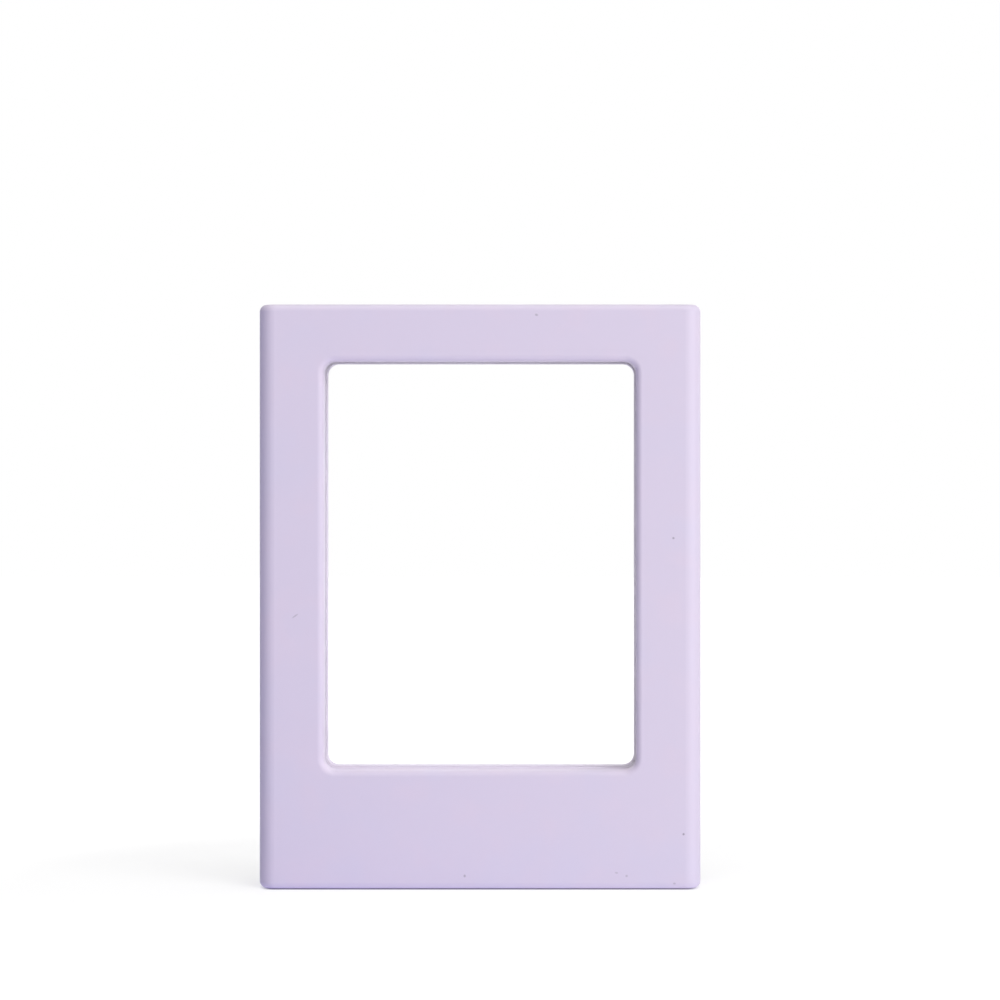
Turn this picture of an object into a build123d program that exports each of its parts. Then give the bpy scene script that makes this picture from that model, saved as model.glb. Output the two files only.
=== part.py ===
from build123d import *
import os

# Magnetic photo frame for one instant print, in millimetres.
# X runs across the frame, Y from the front to the back and Z upwards.
# The origin is on the table, at the middle of the base, in the parting plane.
# The frame is two halves that pull apart. Each half is a hollow moulded shell,
# a clear panel, an inner plate that closes the shell, and four rod magnets.
# Every piece is drawn for the back half, where a depth is measured from the
# parting plane along +Y. The front half is its mirror image.

# The print that the frame holds, and the borders round its picture
print_width = 54.0
print_height = 86.0
print_thickness = 0.5
print_side_border = 4.0
print_top_border = 7.15
print_bottom_border = 16.85

# Pocket for the print, half of it sunk into each inner plate
print_clearance = 0.25
print_slack = 0.2
pocket_corner_radius = 0.6

# Window, a little larger than the picture
window_side_margin = 1.75
window_end_margin = 1.4
window_corner_radius = 1.8
window_edge_radius = 0.95
window_wall = 1.6

# Shell
half_depth = 7.0
face_wall = 1.8
side_wall = 2.0
rim_wall = 1.2
end_border = 3.0
side_edge_radius = 2.5
end_edge_radius = 1.1
parting_chamfer = 0.3
cavity_corner_radius = 0.8
mouth_corner_radius = 1.0

# Fingernail notch across the top of the parting line
notch_width = 12.0
notch_depth = 0.6
notch_reach = 1.1

# Ribs inside the shell, placed by shares of the window's width and height
rib_thickness = 1.0
rib_plate_gap = 0.2
end_rib_shares = (-0.42, -0.14, 0.14, 0.42)
side_rib_shares = (0.25, 0.75)

# Inner plate
plate_thickness = 1.6
plate_clearance = 0.15
plate_edge_web = 0.8
panel_seat_depth = 0.6

# Clear panel
panel_thickness = 1.0
panel_overlap = 1.4
panel_clearance = 0.15

# Rod magnets in the four corners
magnet_diameter = 5.0
magnet_length = 5.0
magnet_recess = 0.1
magnet_end_inset = 7.0
magnet_web = 0.4
bore_clearance = 0.05
block_wall = 1.4
plate_hole_clearance = 0.1

# Round posts of the inner plate and the six-sided bosses of the shell that grip them
post_diameter = 2.0
post_length = 2.6
post_clearance = 0.05
boss_wall = 1.0
boss_spare_depth = 0.3

# Locating pegs of the back plate and the sockets of the front plate
peg_diameter = 2.4
peg_length = 1.0
peg_lead_in = 0.25
peg_clearance = 0.1
socket_spare_depth = 0.2

# Cutting tools run this far past the faces they cut
overrun = 1.0

# Pocket, picture and window
pocket_width = print_width + 2 * print_clearance
pocket_height = print_height + 2 * print_clearance
pocket_depth = (print_thickness + print_slack) / 2
picture_width = print_width - 2 * print_side_border
picture_height = print_height - print_top_border - print_bottom_border
window_width = picture_width + 2 * window_side_margin
window_height = picture_height + 2 * window_end_margin

# Overall size, worked outwards from the pocket
plate_hole_diameter = magnet_diameter + 2 * plate_hole_clearance
magnet_x = pocket_width / 2 + magnet_web + plate_hole_diameter / 2
plate_width = 2 * (magnet_x + plate_hole_diameter / 2 + plate_edge_web)
frame_width = plate_width + 2 * (plate_clearance + rim_wall)
frame_height = pocket_height + 2 * end_border
plate_height = frame_height - 2 * (plate_clearance + rim_wall)

# Heights
frame_middle = frame_height / 2
print_bottom = (frame_height - print_height) / 2
window_bottom = print_bottom + print_bottom_border - window_end_margin
window_top = window_bottom + window_height
window_middle = (window_bottom + window_top) / 2

# Depths from the parting plane
panel_near = plate_thickness - panel_seat_depth
panel_far = panel_near + panel_thickness
cavity_far = half_depth - face_wall
magnet_far = magnet_recess + magnet_length

# Places of the magnets, posts and pegs, as (x, z)
side_channel_x = (window_width / 2 + window_wall + frame_width / 2 - side_wall) / 2
bottom_channel_z = (side_wall + window_bottom - window_wall) / 2
top_channel_z = (window_top + window_wall + frame_height - side_wall) / 2
magnet_places = {
    "top_left": (-magnet_x, frame_height - magnet_end_inset),
    "top_right": (magnet_x, frame_height - magnet_end_inset),
    "bottom_left": (-magnet_x, magnet_end_inset),
    "bottom_right": (magnet_x, magnet_end_inset),
}
post_places = [
    (0, bottom_channel_z),
    (0, top_channel_z),
    (-side_channel_x, window_middle),
    (side_channel_x, window_middle),
]
peg_places = [(-magnet_x, frame_middle), (magnet_x, frame_middle)]


def facing_back(x, depth, z):
    """A sketch plane at one place and depth that faces the back of the frame."""
    return Plane(origin=(x, depth, z), x_dir=(1, 0, 0), z_dir=(0, 1, 0))


def slab(width, height, radius, middle, near, far):
    """A plate with rounded corners, between two depths, centred across the frame."""
    outline = RectangleRounded(width, height, radius)
    return extrude(facing_back(0, near, middle) * outline, amount=far - near)


def rods(places, diameter, near, far):
    """Round bars between two depths, one at each place."""
    circles = [facing_back(x, near, z) * Circle(diameter / 2) for x, z in places]
    return [extrude(circle, amount=far - near) for circle in circles]


def hexagons(places, across_flats, near, far):
    """Six-sided bars between two depths, one at each place."""
    flats = [
        facing_back(x, near, z) * RegularPolygon(across_flats / 2, 6, major_radius=False)
        for x, z in places
    ]
    return [extrude(flat, amount=far - near) for flat in flats]


def shell_block():
    """The solid outer form: big radii along the sides, small ones round the ends."""
    corner = (Align.CENTER, Align.MIN, Align.MIN)
    block = Box(frame_width, half_depth, frame_height, align=corner)
    long_edges = block.edges().filter_by(Axis.Z).group_by(Axis.Y)[-1]
    block = fillet(long_edges, side_edge_radius)
    end_edges = []
    for end_face in block.faces().filter_by(Axis.Z):
        end_edges += end_face.edges().sort_by(Axis.Y)[1:]
    block = fillet(end_edges, end_edge_radius)
    return chamfer(block.edges().group_by(Axis.Y)[0], parting_chamfer)


def shell_cavity():
    """The hollow between skin, side walls and window wall, less ribs, blocks and bosses."""
    cavity = slab(
        frame_width - 2 * side_wall,
        frame_height - 2 * side_wall,
        cavity_corner_radius,
        frame_middle,
        plate_thickness,
        cavity_far,
    )
    cavity -= slab(
        window_width + 2 * window_wall,
        window_height + 2 * window_wall,
        window_corner_radius + window_wall,
        window_middle,
        panel_far,
        half_depth,
    )
    cavity -= shell_ribs()
    cavity -= magnet_blocks()
    boss_width = post_diameter + 2 * (post_clearance + boss_wall)
    return cavity - hexagons(post_places, boss_width, plate_thickness, half_depth)


def shell_ribs():
    """Stiffening ribs from the window wall to the side walls, short of the inner plate."""
    near = plate_thickness + rib_plate_gap
    depth = half_depth - near
    ribs = []
    for share in end_rib_shares:
        for low, high in ((0, window_bottom), (window_top, frame_height)):
            rib = Box(rib_thickness, depth, high - low)
            middle = ((near + half_depth) / 2, (low + high) / 2)
            ribs.append(Pos(share * window_width, *middle) * rib)
    length = (frame_width - window_width) / 2
    for share in side_rib_shares:
        for side in (-1, 1):
            rib = Box(length, depth, rib_thickness)
            x = side * (window_width + length) / 2
            z = window_bottom + share * window_height
            ribs.append(Pos(x, (near + half_depth) / 2, z) * rib)
    return ribs


def magnet_blocks():
    """The four corner blocks that hold the magnets and reach the side and end walls."""
    block_width = magnet_diameter + 2 * (bore_clearance + block_wall)
    reach_x = frame_width / 2 - magnet_x + block_width / 2
    reach_z = magnet_end_inset + block_width / 2
    depth = half_depth - plate_thickness
    block = Box(reach_x, depth, reach_z)
    x = (frame_width - reach_x) / 2
    y = plate_thickness + depth / 2
    heights = (reach_z / 2, frame_height - reach_z / 2)
    return [Pos(side * x, y, z) * block for side in (-1, 1) for z in heights]


def nail_notch():
    """A shallow dip across the top edge at the parting line."""
    half_width = notch_width / 2
    radius = (half_width**2 + notch_depth**2) / (2 * notch_depth)
    centre_z = frame_height - notch_depth + radius
    return rods([(0, centre_z)], 2 * radius, -overrun, notch_reach)


def panel_space(near, far):
    """The room that the clear panel needs between two depths."""
    return slab(
        window_width + 2 * (panel_overlap + panel_clearance),
        window_height + 2 * (panel_overlap + panel_clearance),
        window_corner_radius + panel_overlap + panel_clearance,
        window_middle,
        near,
        far,
    )


def make_shell():
    """One moulded shell, open towards the parting plane."""
    shell = shell_block() - shell_cavity()
    shell -= slab(
        frame_width - 2 * rim_wall,
        frame_height - 2 * rim_wall,
        mouth_corner_radius,
        frame_middle,
        -overrun,
        plate_thickness,
    )
    shell -= panel_space(-overrun, panel_far)
    shell -= slab(
        window_width,
        window_height,
        window_corner_radius,
        window_middle,
        -overrun,
        half_depth + overrun,
    )
    magnet_bore = magnet_diameter + 2 * bore_clearance
    shell -= rods(magnet_places.values(), magnet_bore, -overrun, magnet_far)
    boss_bore = post_diameter + 2 * post_clearance
    boss_far = plate_thickness + post_length + boss_spare_depth
    shell -= hexagons(post_places, boss_bore, -overrun, boss_far)
    shell -= nail_notch()
    window_rim = shell.faces().sort_by(Axis.Y)[-1].inner_wires()[0]
    return fillet(window_rim.edges(), window_edge_radius)


def make_plate():
    """The inner plate that closes a shell and carries the print pocket."""
    plate = slab(
        plate_width,
        plate_height,
        mouth_corner_radius - plate_clearance,
        frame_middle,
        0,
        plate_thickness,
    )
    plate -= slab(
        window_width,
        window_height,
        window_corner_radius,
        window_middle,
        -overrun,
        plate_thickness + overrun,
    )
    plate -= slab(
        pocket_width,
        pocket_height,
        pocket_corner_radius,
        frame_middle,
        -overrun,
        pocket_depth,
    )
    plate -= panel_space(panel_near, plate_thickness + overrun)
    plate -= rods(
        magnet_places.values(),
        plate_hole_diameter,
        -overrun,
        plate_thickness + overrun,
    )
    post_far = plate_thickness + post_length
    return plate + rods(post_places, post_diameter, plate_thickness, post_far)


def add_pegs(plate):
    """The back plate with its two locating pegs, which stand out to the front."""
    for peg in rods(peg_places, peg_diameter, -peg_length, 0):
        plate += chamfer(peg.edges().group_by(Axis.Y)[0], peg_lead_in)
    return plate


def cut_sockets(plate):
    """The front plate with the two sockets that take the pegs."""
    bore = peg_diameter + 2 * peg_clearance
    return plate - rods(peg_places, bore, -overrun, peg_length + socket_spare_depth)


def make_panel():
    """The clear panel, a little larger than the window."""
    return slab(
        window_width + 2 * panel_overlap,
        window_height + 2 * panel_overlap,
        window_corner_radius + panel_overlap,
        window_middle,
        panel_near,
        panel_far,
    )


def make_magnet(place):
    """One rod magnet, just below the face of the inner plate."""
    return rods([place], magnet_diameter, magnet_recess, magnet_far)[0]


def to_front(solid):
    """The mirror image of a piece of the back half, for the front half."""
    return mirror(solid, about=Plane.XZ)


def make_parts():
    """Every piece of the frame by name."""
    shell = make_shell()
    plate = make_plate()
    panel = make_panel()
    parts = {
        "front_shell": to_front(shell),
        "front_inner_plate": to_front(cut_sockets(plate)),
        "front_clear_panel": to_front(panel),
        "rear_shell": shell,
        "rear_inner_plate": add_pegs(plate),
        "rear_clear_panel": panel,
    }
    for corner, place in magnet_places.items():
        magnet = make_magnet(place)
        parts["front_magnet_" + corner] = to_front(magnet)
        parts["rear_magnet_" + corner] = magnet
    return parts


os.makedirs("parts", exist_ok=True)
for name, piece in make_parts().items():
    export_step(piece, f"parts/{name}.step")
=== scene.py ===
"""Looks of an upright magnetic photo frame with a see-through window.

Two moulded lilac half-shells, their inner plates, the clear panels and the rod magnets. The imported
model gives every place and size. This script dresses its nodes, makes the magnets and the moulding
marks, and sets up the floor, the soft studio light and the camera. Lengths are in metres, unless
it says otherwise.
"""

import logging
import math
from collections.abc import Mapping, Sequence
from dataclasses import dataclass
from enum import Enum

import bpy
from mathutils import Euler, Matrix, Vector

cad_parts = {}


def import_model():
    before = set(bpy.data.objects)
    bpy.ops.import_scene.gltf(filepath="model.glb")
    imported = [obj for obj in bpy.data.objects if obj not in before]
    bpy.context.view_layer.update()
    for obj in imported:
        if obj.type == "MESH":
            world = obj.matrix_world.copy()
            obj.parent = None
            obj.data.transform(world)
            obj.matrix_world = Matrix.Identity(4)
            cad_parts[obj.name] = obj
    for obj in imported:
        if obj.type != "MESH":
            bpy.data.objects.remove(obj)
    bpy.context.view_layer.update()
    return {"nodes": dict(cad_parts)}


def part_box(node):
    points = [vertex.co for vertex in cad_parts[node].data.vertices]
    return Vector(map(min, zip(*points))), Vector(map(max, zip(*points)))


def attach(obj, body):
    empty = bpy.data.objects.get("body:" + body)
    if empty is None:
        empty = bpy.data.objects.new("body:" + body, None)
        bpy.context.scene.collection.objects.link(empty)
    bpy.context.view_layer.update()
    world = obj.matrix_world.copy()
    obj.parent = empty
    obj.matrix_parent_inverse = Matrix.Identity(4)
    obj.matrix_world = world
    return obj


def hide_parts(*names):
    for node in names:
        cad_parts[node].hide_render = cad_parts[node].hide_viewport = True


LOG = logging.getLogger("photo_frame")

MM = 0.001  # one millimetre in metres
QUARTER_TURN = math.pi / 2
NOISE_MEAN = 0.5  # middle of a noise node's values
# Places of the Mix node's colour sockets, whose names its other sockets share.
COLOUR_A, COLOUR_B, COLOUR_RESULT = 6, 7, 2

Colour = tuple[float, float, float, float]
Point = tuple[float, float, float]


class Half(Enum):
    """The two halves of the frame, which the magnets hold together."""

    FRONT = "front"
    REAR = "rear"

    @property
    def body(self) -> str:
        """Name of the moving body that the half is."""
        return f"{self.value}_half"

    @property
    def outward(self) -> int:
        """Sign of Y from the parting plane to the half's outer face."""
        return -1 if self is Half.FRONT else 1

    def node(self, piece: str) -> str:
        """Name of the half's CAD node for a piece."""
        return f"{self.value}_{piece}"


class Slot(Enum):
    """Names of the record's material slots for the lilac plastic and the nickel plating."""

    LILAC = "lilac_plastic"
    NICKEL = "nickel_plating"


# --------------------------------------------------------------------------- node trees


class Wire:
    """One output of a node. Arithmetic on it adds Math nodes to its tree."""

    def __init__(self, net: "NodeNet", node: bpy.types.Node, output: int | str = 0) -> None:
        """Wraps an output.

        Args:
            net: The tree's builder.
            node: The node.
            output: Name or number of the node's output.
        """
        self.net = net
        self.node = node
        self.output = output

    @property
    def socket(self) -> bpy.types.NodeSocket:
        """The output socket itself."""
        return self.node.outputs[self.output]

    def other(self, output: int | str) -> "Wire":
        """Another output of the same node."""
        return Wire(self.net, self.node, output)

    def math(self, operation: str, *others: "Value") -> "Wire":
        """Puts this value through one Math node.

        Args:
            operation: The node's operation.
            others: The second and third operand, where the operation has them.

        Returns:
            The result.
        """
        return self.net.math(operation, self, *others)

    def __add__(self, other: "Value") -> "Wire":
        """This plus other."""
        return self.math("ADD", other)

    def __radd__(self, other: "Value") -> "Wire":
        """Other plus this."""
        return self.math("ADD", other)

    def __sub__(self, other: "Value") -> "Wire":
        """This minus other."""
        return self.math("SUBTRACT", other)

    def __rsub__(self, other: "Value") -> "Wire":
        """Other minus this."""
        return self.net.math("SUBTRACT", other, self)

    def __mul__(self, other: "Value") -> "Wire":
        """This times other."""
        return self.math("MULTIPLY", other)

    def __rmul__(self, other: "Value") -> "Wire":
        """Other times this."""
        return self.math("MULTIPLY", other)

    def __truediv__(self, other: "Value") -> "Wire":
        """This over other."""
        return self.math("DIVIDE", other)

    def __rtruediv__(self, other: "Value") -> "Wire":
        """Other over this."""
        return self.net.math("DIVIDE", other, self)

    def at_least(self, low: "Value") -> "Wire":
        """The larger of this and low."""
        return self.math("MAXIMUM", low)

    def at_most(self, high: "Value") -> "Wire":
        """The smaller of this and high."""
        return self.math("MINIMUM", high)


Value = Wire | float


class NodeNet:
    """Builds one node tree: adds nodes and links them as they are named."""

    def __init__(self, tree: bpy.types.NodeTree) -> None:
        """Starts from an empty tree.

        Args:
            tree: The tree, whose nodes are removed.
        """
        self.tree = tree
        tree.nodes.clear()

    def node(
        self,
        kind: str,
        settings: Mapping[str, object] | None = None,
        inputs: Mapping[int | str, object] | None = None,
        output: int | str = 0,
    ) -> Wire:
        """Adds one node.

        Args:
            kind: The node's type.
            settings: The node's own settings, set first.
            inputs: A value or a wire for each named or numbered input.
            output: The output that is wanted.

        Returns:
            That output.
        """
        made = self.tree.nodes.new(kind)
        for name, value in (settings or {}).items():
            setattr(made, name, value)
        for key, value in (inputs or {}).items():
            if isinstance(value, Wire):
                self.tree.links.new(value.socket, made.inputs[key])
            else:
                made.inputs[key].default_value = value
        return Wire(self, made, output)

    def math(self, operation: str, *values: Value) -> Wire:
        """One Math node on these values."""
        return self.node("ShaderNodeMath", {"operation": operation}, dict(enumerate(values)))

    def vector(self, operation: str, *values: Wire | Point, output: str = "Vector") -> Wire:
        """Puts vectors through one Vector Math node.

        Args:
            operation: The node's operation.
            values: The operands.
            output: "Vector", or "Value" where the result is a number.

        Returns:
            The result.
        """
        settings = {"operation": operation}
        return self.node("ShaderNodeVectorMath", settings, dict(enumerate(values)), output)

    def mix(self, factor: Value, first: Wire | Colour, second: Wire | Colour) -> Wire:
        """Mixes two colours.

        Args:
            factor: Share of the second.
            first: A colour.
            second: A colour.

        Returns:
            The mixed colour.
        """
        inputs = {0: factor, COLOUR_A: first, COLOUR_B: second}
        return self.node("ShaderNodeMix", {"data_type": "RGBA"}, inputs, COLOUR_RESULT)

    def blend_shaders(self, factor: Value, first: Wire, second: Wire) -> Wire:
        """The first shader, with a share of the second."""
        return self.node("ShaderNodeMixShader", inputs={0: factor, 1: first, 2: second})

    def ramp(
        self, value: Value, start: float, end: float, low: float = 0.0, high: float = 1.0
    ) -> Wire:
        """Carries a value smoothly from one range to another.

        Args:
            value: The value.
            start: Where the change begins.
            end: Where it ends.
            low: Result at the start.
            high: Result at the end.

        Returns:
            The result, held at low and high outside the range.
        """
        return self.node(
            "ShaderNodeMapRange",
            {"interpolation_type": "SMOOTHSTEP"},
            {"Value": value, "From Min": start, "From Max": end, "To Min": low, "To Max": high},
        )

    def noise(self, place: Wire, grain: float, detail: float = 2.0, rough: float = 0.5) -> Wire:
        """Cloudy noise around 0.5.

        Args:
            place: Object coordinates.
            grain: Size of a patch in metres.
            detail: Finer layers.
            rough: Strength of the finer layers.

        Returns:
            The noise.
        """
        return self.node(
            "ShaderNodeTexNoise",
            inputs={"Vector": place, "Scale": 1 / grain, "Detail": detail, "Roughness": rough},
        )

    def seen_rays(self) -> Wire:
        """Tells what is seen from what only gives light.

        Returns:
            One for rays from the camera, a mirror or a clear panel, and nothing for light.
        """
        path = self.node("ShaderNodeLightPath", output="Is Camera Ray")
        seen = path + path.other("Is Glossy Ray") + path.other("Is Transmission Ray")
        return seen.at_most(1.0)


def rgba(red: float, green: float, blue: float) -> Colour:
    """An opaque colour, in linear light."""
    return (red, green, blue, 1.0)


WHITE = rgba(1.0, 1.0, 1.0)


# --------------------------------------------------------------------------- finishes


@dataclass(frozen=True)
class Finish:
    """A procedural material.

    Attributes:
        name: The material's name.
    """

    name: str

    def material(self) -> bpy.types.Material:
        """Makes the material.

        Returns:
            The finished material.
        """
        made = bpy.data.materials.new(self.name)
        made.use_nodes = True
        net = NodeNet(made.node_tree)
        place = net.node("ShaderNodeTexCoord", output="Object")
        net.node("ShaderNodeOutputMaterial", inputs={"Surface": self.surface(net, place)})
        return made

    def surface(self, net: NodeNet, place: Wire) -> Wire:
        """Adds the nodes of the surface.

        Args:
            net: The material's tree.
            place: Object coordinates.

        Returns:
            The surface's shader.
        """
        raise NotImplementedError


@dataclass(frozen=True)
class Speck:
    """A dark fleck moulded into the outer face, in millimetres.

    Attributes:
        x: Its place across the face.
        z: Its height over the floor.
        length: Half its longer side.
        width: Half its shorter side.
        turn: Its turn about Y, in degrees.
        depth: Its strength in the middle, at most 1.
        fade: Share of its radius over which it fades.
    """

    x: float
    z: float
    length: float
    width: float
    turn: float
    depth: float
    fade: float = 0.6

    def mask(self, net: NodeNet, place: Wire, face_y: float) -> Wire:
        """How much of the fleck shows at each point.

        Args:
            net: The material's tree.
            place: Object coordinates.
            face_y: Y of the outer face.

        Returns:
            Its strength, nothing outside the fleck.
        """
        moved = net.node(
            "ShaderNodeMapping",
            {"vector_type": "TEXTURE"},
            {
                "Vector": place,
                "Location": (self.x * MM, face_y, self.z * MM),
                "Rotation": (0.0, math.radians(self.turn), 0.0),
                "Scale": (self.length * MM, MM, self.width * MM),
            },
        )
        ball = net.node(
            "ShaderNodeTexGradient", {"gradient_type": "SPHERICAL"}, {"Vector": moved}, "Fac"
        )
        return net.ramp(ball, 0.0, self.fade, 0.0, self.depth)


FACE_SPECKS = (
    Speck(8.95, 90.8, 0.35, 0.25, 20.0, 0.35),
    Speck(30.6, 55.5, 0.26, 0.24, 0.0, 0.5),
    Speck(-29.2, 43.2, 0.75, 0.16, -35.0, 0.3),
    Speck(32.2, 8.7, 0.25, 0.25, 0.0, 0.55),
    Speck(-2.4, 2.1, 0.25, 0.3, 0.0, 0.4),
    Speck(21.6, 2.6, 0.35, 0.2, 10.0, 0.25),
    Speck(23.2, 2.1, 0.25, 0.25, 0.0, 0.3),
    Speck(30.75, 0.9, 0.3, 0.2, 0.0, 0.3),
)


@dataclass(frozen=True)
class LilacPlastic(Finish):
    """Pale lilac moulded plastic with a fine satin spark texture.

    Attributes:
        colour: The pigment.
        pinker: The pigment where it drifts to pink.
        bluer: The pigment where it drifts to blue.
        pink_patch: Size of the pinker patches.
        blue_patch: Size of the bluer patches.
        drift: Noise values between which the pigment drifts.
        fleck: Colour of the flecks.
        roughness: Mean roughness.
        roughness_swing: How far it varies.
        fine_share: Share of the fine noise in that, beside the slow noise.
        fine_grains: Size of the fine noise, in grains.
        index: Index of refraction.
        gloss: Strength of the reflection.
        grain: Size of the spark texture's grains.
        grain_depth: Their depth.
        wave: Length of the surface's slow waves.
        wave_depth: Their depth.
        specks: The flecks.
        face_y: Y of the outer face.
    """

    colour: Colour = rgba(0.644, 0.577, 0.702)
    pinker: Colour = rgba(0.657, 0.578, 0.699)
    bluer: Colour = rgba(0.632, 0.577, 0.708)
    pink_patch: float = 6.0 * MM
    blue_patch: float = 10.2 * MM
    drift: tuple[float, float] = (0.45, 0.75)
    fleck: Colour = rgba(0.12, 0.10, 0.14)
    roughness: float = 0.50
    roughness_swing: float = 0.10
    fine_share: float = 0.6
    fine_grains: float = 2.0
    index: float = 1.5
    gloss: float = 0.25
    grain: float = 0.22 * MM
    grain_depth: float = 0.004 * MM
    wave: float = 9.0 * MM
    wave_depth: float = 0.006 * MM
    specks: tuple[Speck, ...] = ()
    face_y: float = -7.0 * MM

    def surface(self, net: NodeNet, place: Wire) -> Wire:
        """Satin plastic.

        Args:
            net: The material's tree.
            place: Object coordinates.

        Returns:
            The surface's shader.
        """
        return net.node(
            "ShaderNodeBsdfPrincipled",
            inputs={
                "Base Color": self._colour(net, place),
                "Roughness": self._roughness(net, place),
                "Normal": self._texture(net, place),
                "IOR": self.index,
                "Specular IOR Level": self.gloss,
            },
        )

    def _colour(self, net: NodeNet, place: Wire) -> Wire:
        """Pigment that drifts between pinker and bluer, with the flecks.

        Args:
            net: The material's tree.
            place: Object coordinates.

        Returns:
            The colour.
        """
        warm = net.ramp(net.noise(place, self.pink_patch), *self.drift)
        cold = net.ramp(net.noise(place, self.blue_patch), *self.drift)
        colour = net.mix(warm, self.colour, self.pinker)
        colour = net.mix(cold, colour, self.bluer)
        for speck in self.specks:
            colour = net.mix(speck.mask(net, place, self.face_y), colour, self.fleck)
        return colour

    def _roughness(self, net: NodeNet, place: Wire) -> Wire:
        """Satin that is a little uneven.

        Args:
            net: The material's tree.
            place: Object coordinates.

        Returns:
            The roughness.
        """
        slow = net.noise(place, self.wave, detail=1.0) - NOISE_MEAN
        fine = net.noise(place, self.grain * self.fine_grains, detail=3.0) - NOISE_MEAN
        return self.roughness + self.roughness_swing * (slow + fine * self.fine_share)

    def _texture(self, net: NodeNet, place: Wire) -> Wire:
        """Spark texture over a very slight waviness.

        Args:
            net: The material's tree.
            place: Object coordinates.

        Returns:
            The bumped normal.
        """
        slow = net.noise(place, self.wave, detail=0.0)
        waves = net.node("ShaderNodeBump", inputs={"Distance": self.wave_depth, "Height": slow})
        grains = net.noise(place, self.grain, detail=3.0, rough=0.6)
        return net.node(
            "ShaderNodeBump",
            inputs={"Distance": self.grain_depth, "Height": grains, "Normal": waves},
        )


@dataclass(frozen=True)
class ClearAcrylic(Finish):
    """Clear polished sheet that lets the lamps through.

    Attributes:
        index: Index of refraction.
        roughness: Mean roughness.
        passed: What it lets through of the lamps' light.
        wave: Length of the surface's slow waves.
        wave_depth: Their depth.
    """

    name: str = "clear_polished_acrylic"
    index: float = 1.30
    roughness: float = 0.01
    passed: Colour = rgba(0.96, 0.96, 0.965)
    wave: float = 14.0 * MM
    wave_depth: float = 0.001 * MM

    def surface(self, net: NodeNet, place: Wire) -> Wire:
        """Clear plastic, which is no more than a tint to the lamps.

        Args:
            net: The material's tree.
            place: Object coordinates.

        Returns:
            The surface's shader.
        """
        uneven = net.noise(place, self.wave, detail=1.0)
        waves = net.node("ShaderNodeBump", inputs={"Distance": self.wave_depth, "Height": uneven})
        sheet = net.node(
            "ShaderNodeBsdfPrincipled",
            inputs={
                "Base Color": WHITE,
                "Roughness": self.roughness * (uneven / NOISE_MEAN),
                "IOR": self.index,
                "Transmission Weight": 1.0,
                "Normal": waves,
            },
        )
        tint = net.node("ShaderNodeBsdfTransparent", inputs={"Color": self.passed})
        lamps = net.node("ShaderNodeLightPath", output="Is Shadow Ray")
        return net.blend_shaders(lamps, sheet, tint)


@dataclass(frozen=True)
class NickelPlating(Finish):
    """Bright nickel on a sintered rod magnet.

    Attributes:
        bright: Colour of the bright metal.
        dull: Colour of the duller patches.
        patch: Size of the duller patches.
        dull_from: Noise value from which the metal turns dull.
        dull_to: Noise value at which it is dull.
        roughness: Roughness where it starts to turn dull.
        roughness_swing: How fast the roughness grows with the noise.
        grain: Size of the grains.
        grain_depth: Their depth.
    """

    name: str = "bright_nickel_plating"
    bright: Colour = rgba(0.72, 0.70, 0.67)
    dull: Colour = rgba(0.60, 0.58, 0.55)
    patch: float = 1.1 * MM
    dull_from: float = 0.4
    dull_to: float = 0.75
    roughness: float = 0.20
    roughness_swing: float = 0.14
    grain: float = 0.12 * MM
    grain_depth: float = 0.0015 * MM

    def surface(self, net: NodeNet, place: Wire) -> Wire:
        """Plated metal.

        Args:
            net: The material's tree.
            place: Object coordinates.

        Returns:
            The surface's shader.
        """
        cloud = net.noise(place, self.patch, detail=4.0)
        dulled = net.ramp(cloud, self.dull_from, self.dull_to)
        grains = net.noise(place, self.grain, detail=3.0)
        return net.node(
            "ShaderNodeBsdfPrincipled",
            inputs={
                "Base Color": net.mix(dulled, self.bright, self.dull),
                "Metallic": 1.0,
                "Roughness": self.roughness + self.roughness_swing * (cloud - self.dull_from),
                "Normal": net.node(
                    "ShaderNodeBump", inputs={"Distance": self.grain_depth, "Height": grains}
                ),
            },
        )


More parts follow.
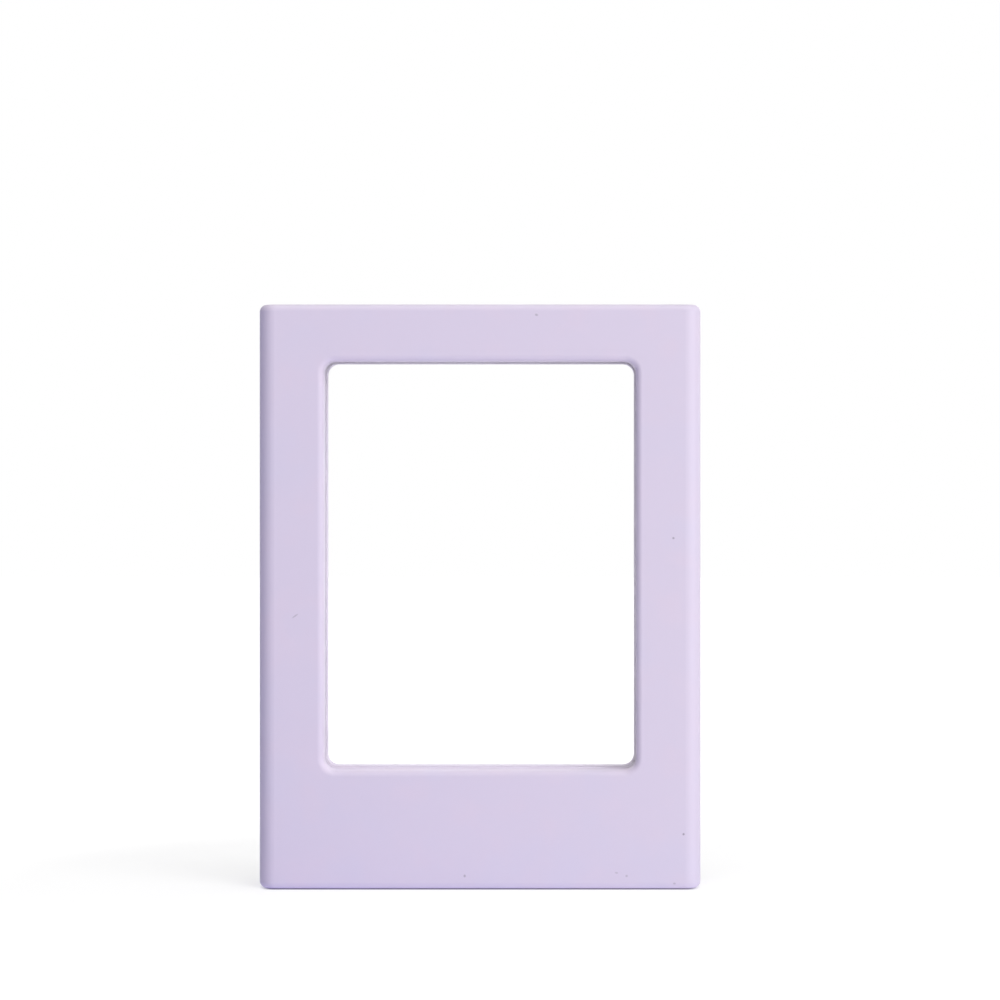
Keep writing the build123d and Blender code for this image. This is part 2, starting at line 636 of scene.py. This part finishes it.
@dataclass(frozen=True)
class FloorFinish(Finish):
    """Lit white table that runs out into the white background and keeps the shadow.

    The light that the table gives the object is strongest at the front right, bluish at the
    left and plain behind the frame, and it stops at the frame's foot. What is seen of the table,
    by the camera and in mirrors and clear panels, is paint with a share of plain white glow.
    A dark contact shade is painted next to the closed frame's foot, where something stands close
    over it.

    Attributes:
        colour: The paint.
        roughness: The paint's roughness.
        gloss: Strength of the paint's reflection.
        glow: Strength of the glow and of the table's light.
        lift: Share of the glow near the frame.
        near: Distance from the middle at which that share starts to grow.
        far: Distance from which all is glow.
        table: Share of the table's light.
        dim_light: That light's colour on the dim side.
        bright_light: Its colour on the bright side.
        bright_way: The level direction of the bright side.
        bright_reach: How far out it is all bright, or all dim on the other side.
        back_light: Its colour behind the frame.
        back_way: The direction behind the frame.
        back_start: How far behind the middle it starts to turn to that colour.
        back_end: How far behind the middle it has.
        foot: Half the width and half the depth of the closed frame's foot.
        foot_edge: Distance from the foot over which the table's light starts.
        contact: Distances from the foot between which the contact shade fades.
        painted_contact_shade: The paint in the contact shade.
        cover: How close a thing has to be to keep the contact shade.
        cover_start: Share of open sky from which the shade fades.
        cover_samples: Rays that look for such a thing.
        painted_shade_ring: Width of the soft shade round the foot.
        painted_shade_ring_depth: Its strength at the foot.
    """

    name: str = "white_studio_floor"
    colour: Colour = rgba(0.94, 0.94, 0.94)
    roughness: float = 0.55
    gloss: float = 0.2
    glow: float = 1.11
    lift: float = 0.59
    near: float = 70.0 * MM
    far: float = 115.0 * MM
    table: float = 0.5
    dim_light: Colour = rgba(0.45, 0.45, 1.05)
    bright_light: Colour = rgba(1.35, 1.34, 1.46)
    bright_way: Point = (0.8, -0.6, 0.0)
    bright_reach: float = 120.0 * MM
    back_light: Colour = rgba(0.95, 0.95, 1.05)
    back_way: Point = (0.0, 1.0, 0.0)
    back_start: float = 30.0 * MM
    back_end: float = 120.0 * MM
    foot: tuple[float, float] = (32.5 * MM, 6.0 * MM)
    foot_edge: float = 0.3 * MM
    contact: tuple[float, float] = (0.6 * MM, 2.5 * MM)
    painted_contact_shade: Colour = rgba(0.16, 0.13, 0.18)
    cover: float = 3.0 * MM
    cover_start: float = 0.8
    cover_samples: int = 8
    painted_shade_ring: float = 10.0 * MM
    painted_shade_ring_depth: float = 0.12

    def surface(self, net: NodeNet, place: Wire) -> Wire:
        """Paint that glows by a share.

        Args:
            net: The material's tree.
            place: Object coordinates.

        Returns:
            The surface's shader.
        """
        gap = self._gap(net, place)
        free = net.ramp(self._openness(net), self.cover_start, 1.0)
        clear = net.ramp(gap, *self.contact).at_least(free)
        seen = net.seen_rays()
        paint = net.node(
            "ShaderNodeBsdfPrincipled",
            inputs={
                # Seen rays get dark paint next to the foot: a painted contact shade.
                "Base Color": net.mix(seen * (1.0 - clear), self.colour, self.painted_contact_shade),
                "Roughness": self.roughness,
                "Specular IOR Level": self.gloss,
            },
        )
        light = net.mix(seen, self._table_light(net, place), WHITE)
        glow = net.node("ShaderNodeEmission", inputs={"Color": light, "Strength": self.glow})
        away = net.vector("LENGTH", place, output="Value")
        shown = net.ramp(away, self.near, self.far, self.lift, 1.0)
        # Less glow shows in a ring round the foot: a soft painted shade.
        shown = shown * clear * net.ramp(gap, 0.0, self.painted_shade_ring, 1.0 - self.painted_shade_ring_depth, 1.0)
        beside = net.ramp(gap, 0.0, self.foot_edge)
        share = beside.at_least(free) * shown * seen + beside * self.table * (1.0 - seen)
        return net.blend_shaders(share, paint, glow)

    def _gap(self, net: NodeNet, place: Wire) -> Wire:
        """Distance from the closed frame's foot.

        Args:
            net: The material's tree.
            place: Object coordinates.

        Returns:
            The distance, nothing within the foot.
        """
        beyond = net.vector("SUBTRACT", net.vector("ABSOLUTE", place), (*self.foot, 0.0))
        outside = net.vector("MAXIMUM", beyond, (0.0, 0.0, 0.0))
        return net.vector("LENGTH", outside, output="Value")

    def _openness(self, net: NodeNet) -> Wire:
        """How open the floor is to the sky.

        Args:
            net: The material's tree.

        Returns:
            One on open floor, and less where something stands close over it.
        """
        return net.node(
            "ShaderNodeAmbientOcclusion",
            {"samples": self.cover_samples},
            {"Distance": self.cover},
            "AO",
        )

    def _table_light(self, net: NodeNet, place: Wire) -> Wire:
        """Colour of the light that the table gives the object.

        Args:
            net: The material's tree.
            place: Object coordinates.

        Returns:
            The colour.
        """
        along = net.vector("DOT_PRODUCT", place, self.bright_way, output="Value")
        behind = net.vector("DOT_PRODUCT", place, self.back_way, output="Value")
        side = net.ramp(along, -self.bright_reach, self.bright_reach)
        light = net.mix(side, self.dim_light, self.bright_light)
        return net.mix(net.ramp(behind, self.back_start, self.back_end), light, self.back_light)


# --------------------------------------------------------------------------- repeated pieces


@dataclass(frozen=True)
class RodGrid:
    """A grid of short round rods with rounded rims, which lie along Y.

    Attributes:
        name: The piece's name.
        radius: A rod's radius.
        length: A rod's length.
        rim: Radius of the rounded rims.
        columns: Rods side by side.
        column_pitch: Distance from one to the next.
        rows: Rods one over the other.
        row_pitch: Distance from one to the next.
        centre: Middle of the grid.
        sides: Faces round a rod.
        rim_rings: Faces across a rim.
    """

    name: str
    radius: float
    length: float
    rim: float
    columns: int
    column_pitch: float
    rows: int
    row_pitch: float
    centre: Point
    sides: int = 64
    rim_rings: int = 6

    def inputs(self) -> dict[str, float | int]:
        """The tree's named inputs with this grid's values.

        Returns:
            One value for each name.
        """
        return {
            "Radius": self.radius,
            "Length": self.length,
            "Rim Radius": self.rim,
            "Sides": self.sides,
            "Rim Rings": self.rim_rings,
            "Columns": self.columns,
            "Column Pitch": self.column_pitch,
            "Rows": self.rows,
            "Row Pitch": self.row_pitch,
            "Centre X": self.centre[0],
            "Centre Y": self.centre[1],
            "Centre Z": self.centre[2],
        }

    def tree(self, finish: bpy.types.Material) -> bpy.types.NodeTree:
        """Builds the Geometry Nodes tree.

        Args:
            finish: The material that the rods get.

        Returns:
            The tree, with one named input for each size.
        """
        tree = bpy.data.node_groups.new(f"{self.name}_rods", "GeometryNodeTree")
        for name, value in self.inputs().items():
            kind = "NodeSocketInt" if isinstance(value, int) else "NodeSocketFloat"
            tree.interface.new_socket(name, in_out="INPUT", socket_type=kind)
        tree.interface.new_socket("Geometry", in_out="OUTPUT", socket_type="NodeSocketGeometry")
        net = NodeNet(tree)
        given = net.node("NodeGroupInput")
        rod = self._rod(net, given)
        spots = net.node(
            "GeometryNodeMeshGrid",
            inputs={
                "Size X": (given.other("Columns") - 1.0) * given.other("Column Pitch"),
                "Size Y": (given.other("Rows") - 1.0) * given.other("Row Pitch"),
                "Vertices X": given.other("Columns"),
                "Vertices Y": given.other("Rows"),
            },
        )
        middle = net.node(
            "ShaderNodeCombineXYZ",
            inputs={
                "X": given.other("Centre X"),
                "Y": given.other("Centre Y"),
                "Z": given.other("Centre Z"),
            },
        )
        upright = (QUARTER_TURN, 0.0, 0.0)
        stood = net.node(
            "GeometryNodeTransform",
            inputs={"Geometry": spots, "Translation": middle, "Rotation": upright},
        )
        rods = net.node(
            "GeometryNodeInstanceOnPoints",
            inputs={"Points": stood, "Instance": rod, "Rotation": upright},
        )
        solid = net.node("GeometryNodeRealizeInstances", inputs={"Geometry": rods})
        dressed = net.node(
            "GeometryNodeSetMaterial", inputs={"Geometry": solid, "Material": finish}
        )
        net.node("NodeGroupOutput", inputs={"Geometry": dressed})
        return tree

    @staticmethod
    def _rod(net: NodeNet, given: Wire) -> Wire:
        """One rod about the origin: a cylinder whose outer cap rings are laid round the rim.

        Args:
            net: The tree's builder.
            given: The tree's inputs.

        Returns:
            The rod's mesh.
        """
        radius = given.other("Radius")
        rim = given.other("Rim Radius")
        rings = given.other("Rim Rings")
        half = given.other("Length") * 0.5
        blank = net.node(
            "GeometryNodeMeshCylinder",
            {"fill_type": "TRIANGLE_FAN"},
            {
                "Vertices": given.other("Sides"),
                "Side Segments": 1,
                "Fill Segments": rings + 1.0,
                "Radius": radius,
                "Depth": given.other("Length"),
            },
        )
        spot = net.node("GeometryNodeInputPosition")
        parts = net.node("ShaderNodeSeparateXYZ", inputs={"Vector": spot}, output="X")
        flat = net.node("ShaderNodeCombineXYZ", inputs={"X": parts, "Y": parts.other("Y")})
        out = net.vector("LENGTH", flat, output="Value")
        ring = out / radius * (rings + 1.0)
        turn = ((ring - 1.0) / rings).at_least(0.0) * QUARTER_TURN
        reach = (radius - rim) * ring.at_most(1.0) + rim * turn.math("SINE")
        height = half - rim + rim * turn.math("COSINE")
        side = parts.other("Z").math("SIGN")
        direction = net.vector("NORMALIZE", flat)
        level = net.node(
            "ShaderNodeVectorMath", {"operation": "SCALE"}, {0: direction, "Scale": reach}
        )
        rise = net.node("ShaderNodeCombineXYZ", inputs={"Z": height * side})
        place = net.vector("ADD", level, rise)
        shaped = net.node("GeometryNodeSetPosition", inputs={"Geometry": blank, "Position": place})
        return net.node("GeometryNodeSetShadeSmooth", inputs={"Geometry": shaped})

    def build(self, half: Half, slot: Slot, finish: bpy.types.Material) -> bpy.types.Object:
        """Makes the rods as one plain mesh that rides on a half.

        Args:
            half: The half that carries them.
            slot: Not used.
            finish: Their material.

        Returns:
            The finished piece.
        """
        blank = bpy.data.meshes.new(f"{self.name}_blank")
        maker = bpy.data.objects.new(f"{self.name}_maker", blank)
        bpy.context.scene.collection.objects.link(maker)
        tree = self.tree(finish)
        nodes = maker.modifiers.new("rods", "NODES")
        nodes.node_group = tree
        sizes = self.inputs()
        for item in tree.interface.items_tree:
            if item.in_out == "INPUT":
                nodes[item.identifier] = sizes[item.name]
        graph = bpy.context.evaluated_depsgraph_get()
        mesh = bpy.data.meshes.new_from_object(maker.evaluated_get(graph))
        mesh.name = self.name
        bpy.data.objects.remove(maker)
        piece = bpy.data.objects.new(self.name, mesh)
        bpy.context.scene.collection.objects.link(piece)
        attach(piece, half.body)
        return piece


# --------------------------------------------------------------------------- sub-assemblies


@dataclass(frozen=True)
class Finishes:
    """The materials that both halves share.

    Attributes:
        shell: Satin plastic of the outer shells.
        plate: Smoother plastic of the inner plates.
        panel: The clear panels' sheet.
        magnet: The magnets' plating.
    """

    shell: bpy.types.Material
    plate: bpy.types.Material
    panel: bpy.types.Material
    magnet: bpy.types.Material

    @classmethod
    def mixed(cls) -> "Finishes":
        """Makes all the materials.

        Returns:
            The set.
        """
        return cls(
            shell=LilacPlastic("lilac_satin_shell", specks=FACE_SPECKS).material(),
            plate=LilacPlastic(
                "lilac_smooth_plate", roughness=0.38, grain=0.3 * MM, grain_depth=0.002 * MM
            ).material(),
            panel=ClearAcrylic().material(),
            magnet=NickelPlating().material(),
        )


@dataclass(frozen=True)
class CarriedNode:
    """A CAD node whose shape is right and that only needs its finish.

    Attributes:
        piece: The node's name without its half.
    """

    piece: str

    def dress(
        self, half: Half, nodes: Mapping[str, bpy.types.Object], finish: bpy.types.Material
    ) -> None:
        """Gives the node its material.

        Args:
            half: The half that the node belongs to.
            nodes: The CAD nodes by name.
            finish: The material.
        """
        node = nodes[half.node(self.piece)]
        for place in node.material_slots:
            place.material = finish
        LOG.info("%s: %s", node.name, finish.name)


@dataclass(frozen=True)
class MagnetSet:
    """The four rod magnets of a half, with rounded and plated rims.

    Their sizes and places are those of the CAD nodes that they replace.

    Attributes:
        rim: Radius of the rounded rims.
        corners: The corners that hold them.
    """

    rim: float = 0.35 * MM
    corners: tuple[str, ...] = ("top_left", "top_right", "bottom_left", "bottom_right")

    def build(self, half: Half, finish: bpy.types.Material) -> bpy.types.Object:
        """Makes the magnets in place of their CAD nodes.

        Args:
            half: The half that holds them.
            finish: Their material.

        Returns:
            The finished piece.
        """
        names = [half.node(f"magnet_{corner}") for corner in self.corners]
        boxes = [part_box(name) for name in names]
        low, high = boxes[0]
        middles = [(first + last) / 2 for first, last in boxes]
        across = max(spot.x for spot in middles) - min(spot.x for spot in middles)
        upright = max(spot.z for spot in middles) - min(spot.z for spot in middles)
        centre = sum(middles, Vector()) / len(middles)
        rods = RodGrid(
            name=half.node("rod_magnets"),
            radius=(high.x - low.x) / 2,
            length=high.y - low.y,
            rim=self.rim,
            columns=2,
            column_pitch=across,
            rows=2,
            row_pitch=upright,
            centre=tuple(centre),
        )
        piece = rods.build(half, Slot.NICKEL, finish)
        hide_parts(*names)
        LOG.info("%s: %d faces", piece.name, len(piece.data.polygons))
        return piece


@dataclass(frozen=True)
class EjectorMarks:
    """The faint round marks of the mould's ejector pins, on the floor of the print pocket.

    Attributes:
        radius: A mark's radius.
        height: How far it stands out.
        sunk: How far it reaches into the plate.
        rim_share: Radius of its rim, as a share of its height.
        columns: Marks in a row.
        column_pitch: Distance from one to the next.
        low_row: Height of the lower row.
        high_row: Height of the upper row.
        pocket_depth: Depth of the pocket from the parting plane.
        sides: Faces round a mark.
        rim_rings: Faces across its rim.
    """

    radius: float = 1.25 * MM
    height: float = 0.05 * MM
    sunk: float = 0.02 * MM
    rim_share: float = 0.6
    columns: int = 4
    column_pitch: float = 14.5 * MM
    low_row: float = 10.5 * MM
    high_row: float = 86.5 * MM
    pocket_depth: float = 0.35 * MM
    sides: int = 40
    rim_rings: int = 3

    def build(self, half: Half, finish: bpy.types.Material) -> bpy.types.Object:
        """Makes the marks on one inner plate.

        Args:
            half: The half that the plate belongs to.
            finish: The plate's material.

        Returns:
            The finished piece.
        """
        length = self.height + self.sunk
        middle = half.outward * (self.pocket_depth + self.sunk - length / 2)
        marks = RodGrid(
            name=half.node("ejector_marks"),
            radius=self.radius,
            length=length,
            rim=self.height * self.rim_share,
            columns=self.columns,
            column_pitch=self.column_pitch,
            rows=2,
            row_pitch=self.high_row - self.low_row,
            centre=(0.0, middle, (self.high_row + self.low_row) / 2),
            sides=self.sides,
            rim_rings=self.rim_rings,
        )
        piece = marks.build(half, Slot.LILAC, finish)
        LOG.info("%s: %d faces", piece.name, len(piece.data.polygons))
        return piece


@dataclass(frozen=True)
class FrameHalf:
    """One half of the frame.

    Attributes:
        half: Which half it is.
        shell: Its moulded outer shell.
        plate: The inner plate that closes the shell.
        panel: The clear panel behind the window.
        magnets: Its rod magnets.
        marks: The ejector marks on its inner plate.
    """

    half: Half
    shell: CarriedNode = CarriedNode("shell")
    plate: CarriedNode = CarriedNode("inner_plate")
    panel: CarriedNode = CarriedNode("clear_panel")
    magnets: MagnetSet = MagnetSet()
    marks: EjectorMarks = EjectorMarks()

    def build(self, nodes: Mapping[str, bpy.types.Object], finishes: Finishes) -> None:
        """Dresses the half's nodes and makes its new pieces.

        Args:
            nodes: The CAD nodes by name.
            finishes: The materials.
        """
        self.shell.dress(self.half, nodes, finishes.shell)
        self.plate.dress(self.half, nodes, finishes.plate)
        self.panel.dress(self.half, nodes, finishes.panel)
        self.magnets.build(self.half, finishes.magnet)
        self.marks.build(self.half, finishes.plate)


# --------------------------------------------------------------------------- studio


@dataclass(frozen=True)
class SoftBox:
    """A soft rectangular lamp that faces the object.

    Attributes:
        name: The lamp's name.
        azimuth: Degrees to the right of the front.
        elevation: Degrees above the level.
        brightness: Brightness of its face, where 1 is white.
        distance: Distance from what it is aimed at.
        width: Its width.
        height: Its height.
        aim: What it is aimed at, the frame's middle.
    """

    name: str
    azimuth: float
    elevation: float
    brightness: float
    distance: float = 1.8
    width: float = 1.0
    height: float = 1.0
    aim: Point = (0.0, 0.0, 46.5 * MM)

    def hang(self) -> bpy.types.Object:
        """Adds the lamp.

        Returns:
            The lamp's object.
        """
        lamp = bpy.data.lights.new(self.name, "AREA")
        lamp.shape = "RECTANGLE"
        lamp.size = self.width
        lamp.size_y = self.height
        lamp.energy = self.brightness * math.pi * self.width * self.height
        hung = bpy.data.objects.new(self.name, lamp)
        turn, lift = math.radians(self.azimuth), math.radians(self.elevation)
        way = Vector(
            (math.sin(turn) * math.cos(lift), -math.cos(turn) * math.cos(lift), math.sin(lift))
        )
        spot = Vector(self.aim) + way * self.distance
        facing = way.to_track_quat("Z", "Y").to_matrix().to_4x4()
        hung.matrix_world = Matrix.Translation(spot) @ facing
        bpy.context.scene.collection.objects.link(hung)
        LOG.info("lamp %s", self.name)
        return hung


@dataclass(frozen=True)
class Studio:
    """White floor, white surroundings and soft lamps.

    Attributes:
        floor_size: Side of the square floor.
        ambient: Colour of the even light from all round.
        lamps: The lamps.
    """

    floor_size: float = 4.0
    ambient: Colour = rgba(0.02, 0.02, 0.02)
    lamps: tuple[SoftBox, ...] = (
        SoftBox("key_high", azimuth=10.0, elevation=65.0, brightness=4.64),
        SoftBox("key_low", azimuth=40.0, elevation=12.0, brightness=3.87),
        SoftBox("key_side", azimuth=60.0, elevation=15.0, brightness=1.96),
        SoftBox("overhead", azimuth=0.0, elevation=89.9, brightness=3.5),
        SoftBox("back_fill", azimuth=150.0, elevation=15.0, brightness=1.0),
    )

    def build(self) -> None:
        """Lays the floor, hangs the lamps and sets the surroundings and the view settings."""
        self._lay_floor()
        for lamp in self.lamps:
            lamp.hang()
        self._surround()
        bpy.context.scene.view_settings.view_transform = "Standard"

    def _lay_floor(self) -> None:
        """Lays the square floor that the frame stands on."""
        side = self.floor_size / 2
        mesh = bpy.data.meshes.new("studio_floor")
        corners = [(-side, -side, 0.0), (side, -side, 0.0), (side, side, 0.0), (-side, side, 0.0)]
        mesh.from_pydata(corners, [], [(0, 1, 2, 3)])
        mesh.materials.append(FloorFinish().material())
        floor = bpy.data.objects.new("studio_floor", mesh)
        bpy.context.scene.collection.objects.link(floor)

    def _surround(self) -> None:
        """Surrounds the object with even light, which cameras, mirrors and glass see as white."""
        world = bpy.data.worlds.new("studio_surround")
        world.use_nodes = True
        net = NodeNet(world.node_tree)
        soft = net.node("ShaderNodeBackground", inputs={"Color": self.ambient, "Strength": 1.0})
        white = net.node("ShaderNodeBackground", inputs={"Color": WHITE, "Strength": 1.0})
        around = net.blend_shaders(net.seen_rays(), soft, white)
        net.node("ShaderNodeOutputWorld", inputs={"Surface": around})
        bpy.context.scene.world = world


@dataclass(frozen=True)
class PhotoCamera:
    """The camera, which looks level and straight back, from a little right of the middle.

    Attributes:
        place: Where it stands.
        shift: Shift of its picture, in widths of the picture.
        lens: Focal length in millimetres.
        sensor: Width of its sensor in millimetres.
        nearest: Distance from which it sees things.
    """

    place: Point = (0.0081, -0.507, 0.06153)
    shift: tuple[float, float] = (-0.0311, 0.0)
    lens: float = 113.87
    sensor: float = 36.0
    nearest: float = 10.0 * MM

    def set_up(self) -> bpy.types.Object:
        """Adds the camera and makes it the scene's own.

        Returns:
            The camera's object.
        """
        data = bpy.data.cameras.new("photo_camera")
        data.lens = self.lens
        data.sensor_width = self.sensor
        data.shift_x, data.shift_y = self.shift
        data.clip_start = self.nearest
        camera = bpy.data.objects.new("photo_camera", data)
        camera.location = self.place
        camera.rotation_euler = Euler((QUARTER_TURN, 0.0, 0.0))
        bpy.context.scene.collection.objects.link(camera)
        bpy.context.scene.camera = camera
        return camera


def main() -> None:
    """Builds the frame's looks in order, then the studio and the camera."""
    logging.basicConfig(level=logging.INFO, format="%(name)s: %(message)s")
    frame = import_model()
    finishes = Finishes.mixed()
    for half in Half:
        FrameHalf(half).build(frame["nodes"], finishes)
    Studio().build()
    PhotoCamera().set_up()


if __name__ == "__main__":
    main()
